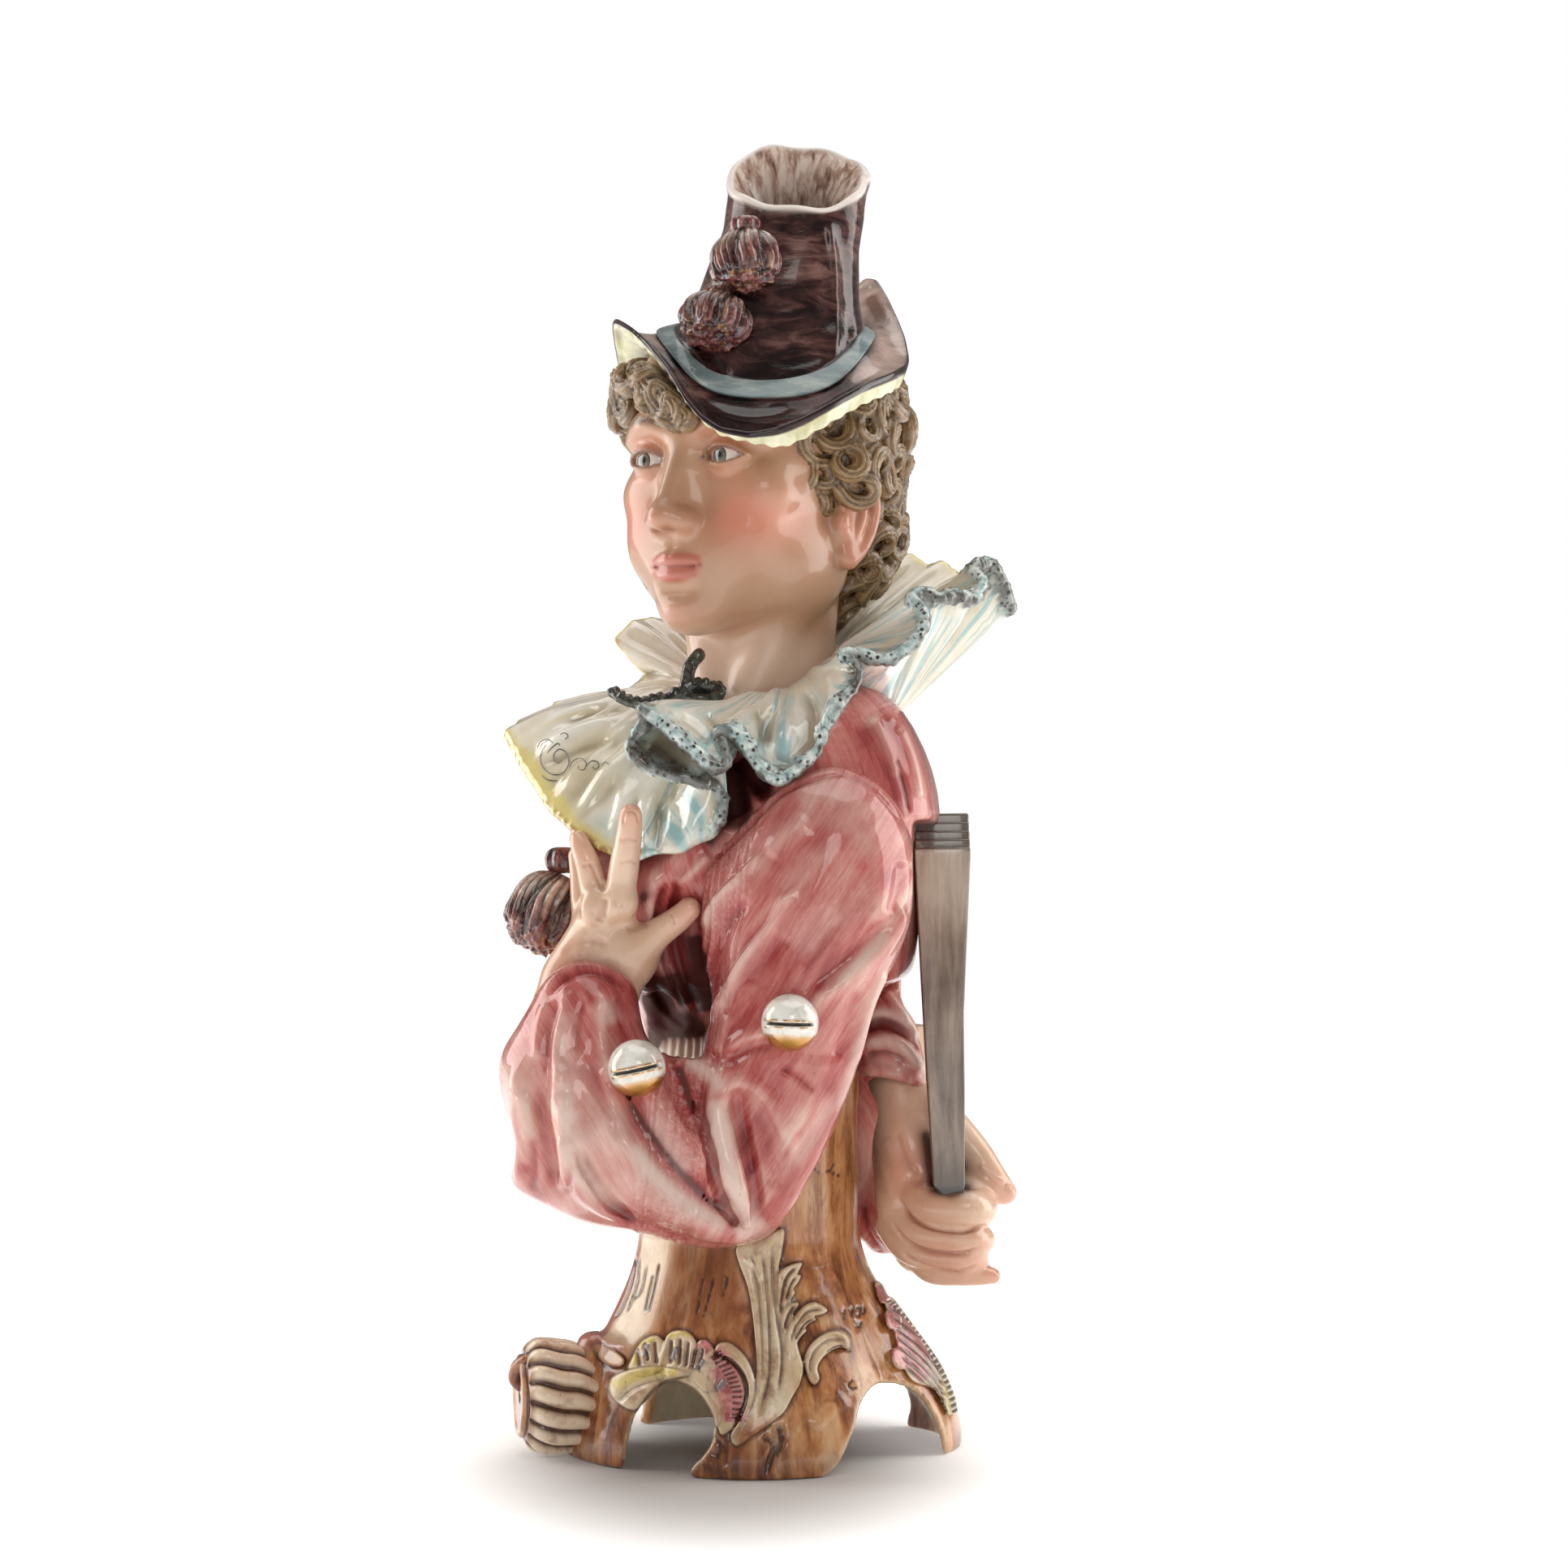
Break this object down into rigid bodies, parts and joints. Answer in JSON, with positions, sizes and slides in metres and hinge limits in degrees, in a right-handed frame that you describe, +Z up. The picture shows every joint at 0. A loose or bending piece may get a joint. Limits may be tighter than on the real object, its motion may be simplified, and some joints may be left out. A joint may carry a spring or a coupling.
{
  "type": "majolica jester bust",
  "caption": "Glazed earthenware bust of a jester in hat, pleated ruff and belled sleeves, one hand at the chest and one holding a clapper, on a footed scroll base.",
  "frame": {"origin": "the middle of the whole object's box, at the height of the feet", "axes": "+Z up; -Y is the display side that the head and near arm turn to; -X is the way the chest faces"},
  "size_m": [0.2752, 0.2892, 0.707],
  "materials": {
    "jacket_glaze": "rose-pink wash pooled crimson in the folds under a clear high gloss glaze",
    "base_glaze": "warm brown brushed wash with cream, yellow, pink and grey-blue relief under a clear gloss glaze",
    "skin_glaze": "pale peach ground with rose blush and painted features under a clear gloss glaze",
    "hair_glaze": "ochre-brown wash, dark in the hollows of the curls, soft gloss",
    "ruff_glaze": "cream white shaded turquoise and yellow, with a pitted porous rim",
    "hat_glaze": "purple-brown brushed glaze with a pale grey-blue band and a cream lining",
    "pompon_glaze": "purple and gilt streaks over cream, with a rough pitted end",
    "bell_glaze": "glossy white with worn gilding on the lower half",
    "clapper_glaze": "grey-brown streaked glaze, darker at the grip"
  },
  "bodies": {
    "root": {"jester_bust": "jacket_glaze"}
  },
  "joints": []
}
